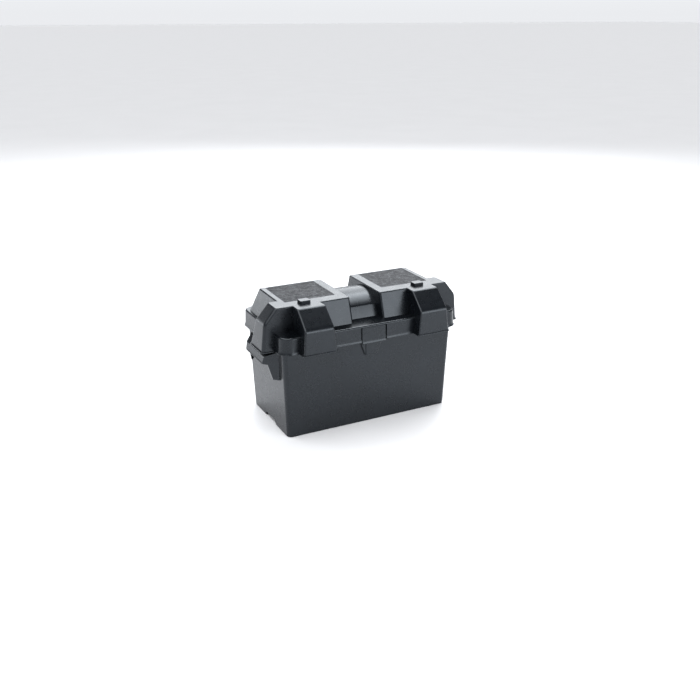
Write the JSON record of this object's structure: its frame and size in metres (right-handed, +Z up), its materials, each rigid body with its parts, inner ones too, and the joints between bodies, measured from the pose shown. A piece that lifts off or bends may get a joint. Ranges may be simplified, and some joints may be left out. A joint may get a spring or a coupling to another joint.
{
  "type": "deep cycle battery",
  "caption": "Deep cycle battery in its moulded snap-top box: tapered case with end handles, lid with cable hoods and snap tabs, flooded lead-acid battery inside.",
  "frame": {"origin": "centre of the case's flat underside, on the ground", "axes": "+X along the box towards the positive terminal, -Y towards the cable hoods and the front snap tab, +Z up"},
  "size_m": [0.432, 0.2368, 0.2625],
  "materials": {
    "black_polypropylene": "moulded, fine satin grain",
    "grained_label_plastic": "coarse grain",
    "battery_container_plastic": "satin",
    "battery_cover_plastic": "satin",
    "vent_cap_plastic": "satin",
    "cast_lead": "dull cast",
    "positive_plate_paste": "porous, brown",
    "negative_plate_paste": "porous, grey",
    "separator_polyethylene": "thin sheet",
    "stainless_steel": "turned"
  },
  "bodies": {
    "case_and_battery": {"case_shell": "black_polypropylene", "battery_container": "battery_container_plastic", "battery_cover": "battery_cover_plastic", "negative_terminal": "cast_lead", "positive_terminal": "cast_lead", "negative_terminal_stud": "stainless_steel", "negative_terminal_washer": "stainless_steel", "positive_terminal_stud": "stainless_steel", "positive_terminal_washer": "stainless_steel", "positive_plate_group_1": "positive_plate_paste", "negative_plate_group_1": "negative_plate_paste", "separator_1": "separator_polyethylene", "positive_plate_group_2": "positive_plate_paste", "negative_plate_group_2": "negative_plate_paste", "separator_2": "separator_polyethylene", "positive_plate_group_3": "positive_plate_paste", "negative_plate_group_3": "negative_plate_paste", "separator_3": "separator_polyethylene", "positive_plate_group_4": "positive_plate_paste", "negative_plate_group_4": "negative_plate_paste", "separator_4": "separator_polyethylene", "positive_plate_group_5": "positive_plate_paste", "negative_plate_group_5": "negative_plate_paste", "separator_5": "separator_polyethylene", "positive_plate_group_6": "positive_plate_paste", "negative_plate_group_6": "negative_plate_paste", "separator_6": "separator_polyethylene", "cell_connector_1": "cast_lead", "cell_connector_2": "cast_lead", "cell_connector_3": "cast_lead", "cell_connector_4": "cast_lead", "cell_connector_5": "cast_lead"},
    "lid": {"lid_shell": "black_polypropylene", "left_label_plate": "grained_label_plastic", "right_label_plate": "grained_label_plastic"},
    "front_tab": {"front_snap_tab": "black_polypropylene"},
    "rear_tab": {"rear_snap_tab": "black_polypropylene"},
    "left_gang_cap": {"left_gang_vent_cap": "vent_cap_plastic"},
    "right_gang_cap": {"right_gang_vent_cap": "vent_cap_plastic"},
    "negative_nut": {"negative_wing_nut": "stainless_steel"},
    "positive_nut": {"positive_wing_nut": "stainless_steel"}
  },
  "joints": [
    {"name": "lid_lift", "type": "slide", "parent": "case_and_battery", "child": "lid", "axis": [0, 0, 1], "range_m": [0, 0.12]},
    {"name": "front_tab_flex", "type": "hinge", "parent": "lid", "child": "front_tab", "pos_m": [0, -0.10366, 0.2037], "axis": [-1, 0, 0], "range_deg": [0, 12], "stiffness_Nm_per_rad": 1.5},
    {"name": "rear_tab_flex", "type": "hinge", "parent": "lid", "child": "rear_tab", "pos_m": [0, 0.10366, 0.2037], "axis": [1, 0, 0], "range_deg": [0, 12], "stiffness_Nm_per_rad": 1.5},
    {"name": "left_vent_cap_pull", "type": "slide", "parent": "case_and_battery", "child": "left_gang_cap", "axis": [0, 0, 1], "range_m": [0, 0.028]},
    {"name": "right_vent_cap_pull", "type": "slide", "parent": "case_and_battery", "child": "right_gang_cap", "axis": [0, 0, 1], "range_m": [0, 0.028]},
    {"name": "negative_nut_turn", "type": "hinge", "parent": "case_and_battery", "child": "negative_nut", "pos_m": [-0.097, -0.056, 0.208], "axis": [0, 0, 1], "continuous": true},
    {"name": "positive_nut_turn", "type": "hinge", "parent": "case_and_battery", "child": "positive_nut", "pos_m": [0.097, -0.056, 0.208], "axis": [0, 0, 1], "continuous": true}
  ]
}
